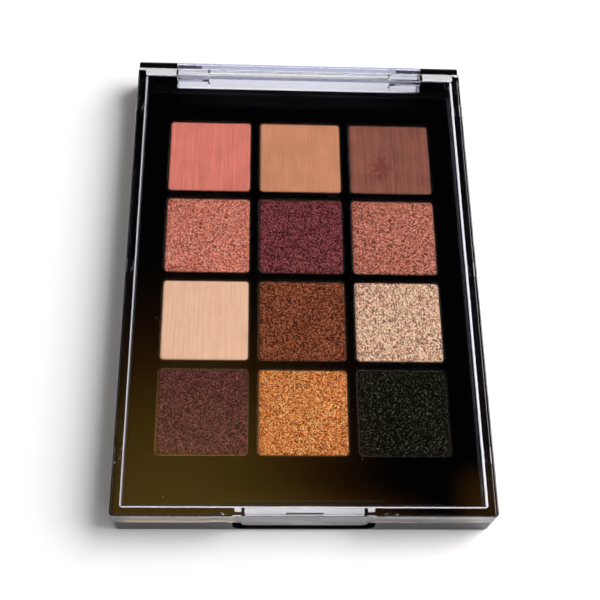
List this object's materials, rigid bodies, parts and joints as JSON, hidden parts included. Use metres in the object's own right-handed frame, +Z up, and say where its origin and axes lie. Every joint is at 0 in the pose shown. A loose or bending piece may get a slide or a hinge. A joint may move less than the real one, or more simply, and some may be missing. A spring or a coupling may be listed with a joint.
{
  "type": "eyeshadow palette",
  "caption": "Flat rectangular makeup palette with pressed powder shades in square pans, a black base and a hinged clear lid with a front pull tab.",
  "frame": {"origin": "middle of the footprint, on the table, with the lid closed", "axes": "+X to the right across the palette, +Y from the front clasp to the rear hinge, +Z up"},
  "size_m": [0.082, 0.1194, 0.0115],
  "materials": {
    "case_black": "satin black",
    "deck_black": "gloss black",
    "clear_plastic": "clear, polished",
    "pin_steel": "ground",
    "pan_tin": "bright tin",
    "glue": "tacky",
    "shade_salmon_pink": "pressed powder, matte",
    "shade_caramel": "pressed powder, matte",
    "shade_mauve_brown": "pressed powder, matte",
    "shade_copper_rose": "pressed powder, shimmer",
    "shade_plum": "pressed powder, shimmer",
    "shade_rose_copper": "pressed powder, shimmer",
    "shade_pale_peach": "pressed powder, matte",
    "shade_chestnut": "pressed powder, shimmer",
    "shade_champagne": "pressed powder, foil shimmer",
    "shade_dark_brown": "pressed powder, fine shimmer",
    "shade_copper_gold": "pressed powder, shimmer",
    "shade_black_glitter": "pressed powder, fine glitter"
  },
  "bodies": {
    "base": {"base_shell": "case_black", "pan_frame": "deck_black", "hinge_pin_left": "pin_steel", "hinge_pin_right": "pin_steel", "pan_glue_pads": "glue", "pan_r1_c1": "pan_tin", "pan_r1_c2": "pan_tin", "pan_r1_c3": "pan_tin", "pan_r2_c1": "pan_tin", "pan_r2_c2": "pan_tin", "pan_r2_c3": "pan_tin", "pan_r3_c1": "pan_tin", "pan_r3_c2": "pan_tin", "pan_r3_c3": "pan_tin", "pan_r4_c1": "pan_tin", "pan_r4_c2": "pan_tin", "pan_r4_c3": "pan_tin", "shade_r1_c1": "shade_salmon_pink", "shade_r1_c2": "shade_caramel", "shade_r1_c3": "shade_mauve_brown", "shade_r2_c1": "shade_copper_rose", "shade_r2_c2": "shade_plum", "shade_r2_c3": "shade_rose_copper", "shade_r3_c1": "shade_pale_peach", "shade_r3_c2": "shade_chestnut", "shade_r3_c3": "shade_champagne", "shade_r4_c1": "shade_dark_brown", "shade_r4_c2": "shade_copper_gold", "shade_r4_c3": "shade_black_glitter"},
    "lid": {"clear_lid": "clear_plastic"}
  },
  "joints": [
    {"name": "lid_hinge", "type": "hinge", "parent": "base", "child": "lid", "pos_m": [0, 0.05795, 0.0081], "axis": [-1, 0, 0], "range_deg": [0, 180]}
  ]
}
